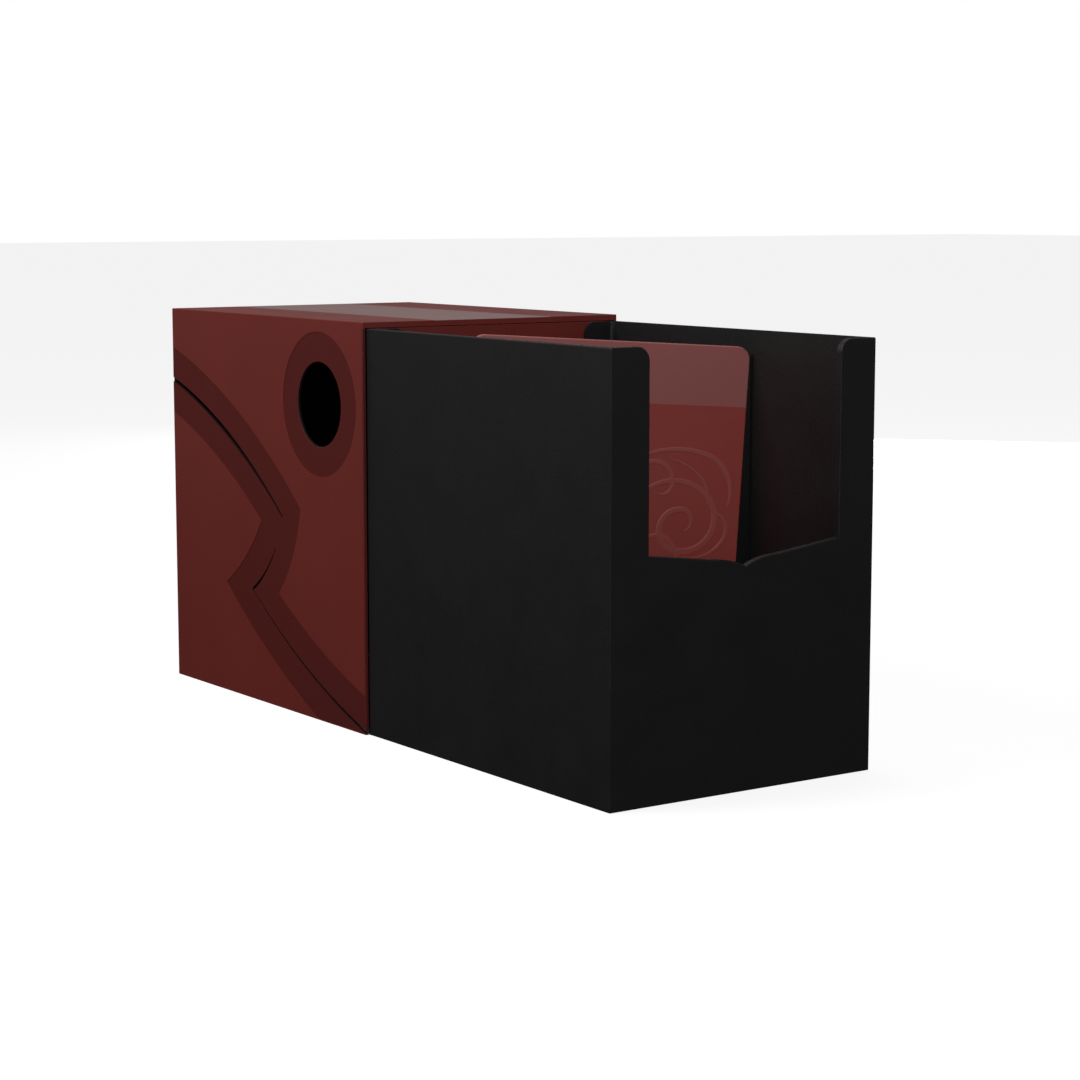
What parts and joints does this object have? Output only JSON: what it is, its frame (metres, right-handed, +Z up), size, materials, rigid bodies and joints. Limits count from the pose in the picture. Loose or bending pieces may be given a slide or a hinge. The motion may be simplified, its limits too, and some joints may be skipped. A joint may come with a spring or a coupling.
{
  "type": "card deck box",
  "caption": "Slide-off deck box for sleeved trading cards: a floorless cover with side finger holes, an open-topped tray with thumb notches, a rear plate and a loose divider.",
  "frame": {"origin": "under the middle of the whole box, tray drawn out, on the surface it stands on", "axes": "+Z up, +Y towards the cover's closed back, the tray is drawn out towards -Y, +X to the right seen from the tray's front"},
  "size_m": [0.0728, 0.1908, 0.0965],
  "materials": {
    "cover_red": "satin moulded polypropylene, fine even grain",
    "inset_dark_red": "darker, finer-grained matt zone",
    "tray_black": "satin black moulded polypropylene",
    "divider_red": "semi-gloss moulded plate with a shallow raised scroll"
  },
  "bodies": {
    "cover": {"cover_shell": "cover_red", "side_band_left": "inset_dark_red", "side_band_right": "inset_dark_red", "hole_ring_left": "inset_dark_red", "hole_ring_right": "inset_dark_red"},
    "tray": {"card_tray": "tray_black", "rear_plate": "cover_red"},
    "divider": {"divider": "divider_red"}
  },
  "joints": [
    {"name": "tray_slide", "type": "slide", "parent": "cover", "child": "tray", "axis": [0, -1, 0], "range_m": [-0.0948, 0]},
    {"name": "divider_slide", "type": "slide", "parent": "tray", "child": "divider", "axis": [0, 1, 0], "range_m": [-0.036, 0.028]}
  ]
}
